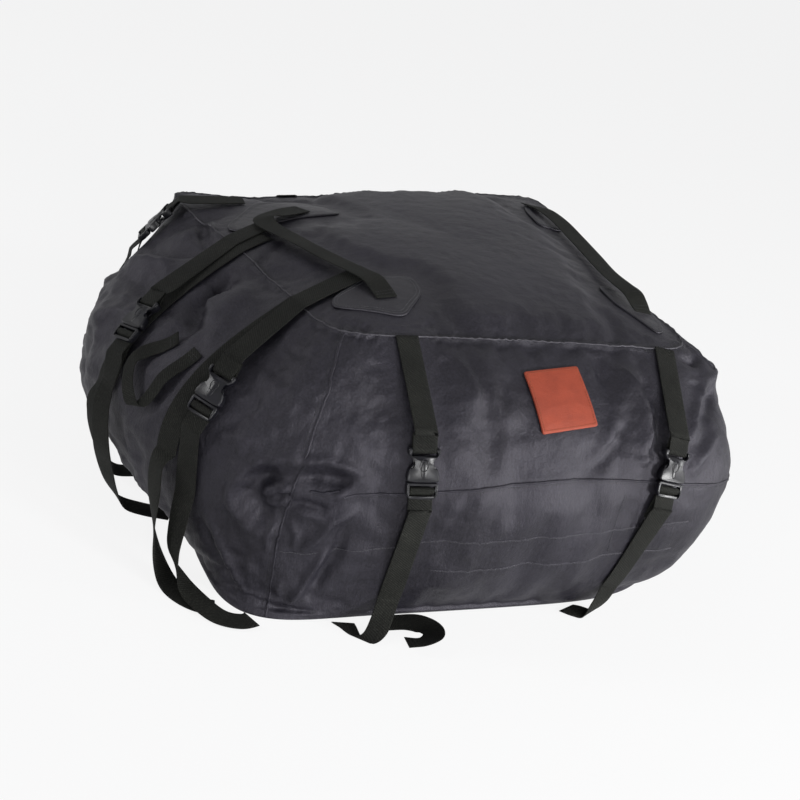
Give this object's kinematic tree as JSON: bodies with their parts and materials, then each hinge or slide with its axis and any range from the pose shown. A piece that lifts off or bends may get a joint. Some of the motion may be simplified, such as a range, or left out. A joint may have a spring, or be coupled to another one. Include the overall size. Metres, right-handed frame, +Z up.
{
  "type": "roof cargo bag",
  "caption": "Large soft roof cargo bag stuffed full, with webbing straps and side-release buckles over its rim, carry handles on the top and a plain leather label on the front.",
  "frame": {"origin": "on the floor plane, below the middle of the top panel", "axes": "+X to the right along the front, +Y to the back, +Z up"},
  "size_m": [1.0575, 0.9472, 0.4734],
  "materials": {
    "fabric": "satin",
    "webbing": "matte",
    "plastic": "gloss",
    "leather": "satin",
    "backing": "satin"
  },
  "bodies": {
    "bag": {"bag_body": "fabric", "front_left_strap_upper": "webbing", "front_left_buckle_socket": "plastic", "front_right_strap_upper": "webbing", "front_right_buckle_socket": "plastic", "left_front_strap_upper": "webbing", "left_front_buckle_socket": "plastic", "left_middle_strap_upper": "webbing", "left_middle_buckle_socket": "plastic", "left_back_strap_upper": "webbing", "left_back_buckle_socket": "plastic", "back_left_strap_upper": "webbing", "back_left_buckle_socket": "plastic", "back_right_strap_upper": "webbing", "back_right_buckle_socket": "plastic", "front_left_strap_end": "webbing", "front_right_strap_end": "webbing", "left_front_strap_end": "webbing", "left_middle_strap_end": "webbing", "left_back_strap_end": "webbing", "front_label": "leather", "front_left_handle_patch": "backing", "front_right_handle_patch": "backing", "back_right_handle_patch": "backing", "back_left_handle_patch": "backing", "left_carry_handle": "webbing", "right_carry_handle": "webbing", "left_grab_handle": "webbing", "left_front_band": "webbing", "left_middle_band": "webbing", "front_left_strap_tail": "webbing"},
    "front_left_clip": {"front_left_buckle_clip": "plastic", "front_left_strap_lower": "webbing"},
    "front_right_clip": {"front_right_buckle_clip": "plastic", "front_right_strap_lower": "webbing"},
    "left_front_clip": {"left_front_buckle_clip": "plastic", "left_front_strap_lower": "webbing"},
    "left_middle_clip": {"left_middle_buckle_clip": "plastic", "left_middle_strap_lower": "webbing"},
    "left_back_clip": {"left_back_buckle_clip": "plastic", "left_back_strap_lower": "webbing"},
    "back_left_clip": {"back_left_buckle_clip": "plastic", "back_left_strap_lower": "webbing"},
    "back_right_clip": {"back_right_buckle_clip": "plastic", "back_right_strap_lower": "webbing"}
  },
  "joints": [
    {"name": "front_left_clip_slide", "type": "slide", "parent": "bag", "child": "front_left_clip", "axis": [0, -0.3675, -0.93], "range_m": [0, 0.034], "deforming": ["front_left_strap_lower"]},
    {"name": "front_right_clip_slide", "type": "slide", "parent": "bag", "child": "front_right_clip", "axis": [-0.1849, -0.4069, -0.8946], "range_m": [0, 0.034], "deforming": ["front_right_strap_lower"]},
    {"name": "left_front_clip_slide", "type": "slide", "parent": "bag", "child": "left_front_clip", "axis": [-0.4878, -0.2735, -0.829], "range_m": [0, 0.034], "deforming": ["left_front_strap_lower"]},
    {"name": "left_middle_clip_slide", "type": "slide", "parent": "bag", "child": "left_middle_clip", "axis": [-0.6038, -0.4363, -0.6671], "range_m": [0, 0.034], "deforming": ["left_middle_strap_lower"]},
    {"name": "left_back_clip_slide", "type": "slide", "parent": "bag", "child": "left_back_clip", "axis": [-0.6208, 0.0324, -0.7833], "range_m": [0, 0.034], "deforming": ["left_back_strap_lower"]},
    {"name": "back_left_clip_slide", "type": "slide", "parent": "bag", "child": "back_left_clip", "axis": [0, 0.2012, -0.9795], "range_m": [0, 0.034], "deforming": ["back_left_strap_lower"]},
    {"name": "back_right_clip_slide", "type": "slide", "parent": "bag", "child": "back_right_clip", "axis": [0, 0.1355, -0.9908], "range_m": [0, 0.034], "deforming": ["back_right_strap_lower"]}
  ]
}
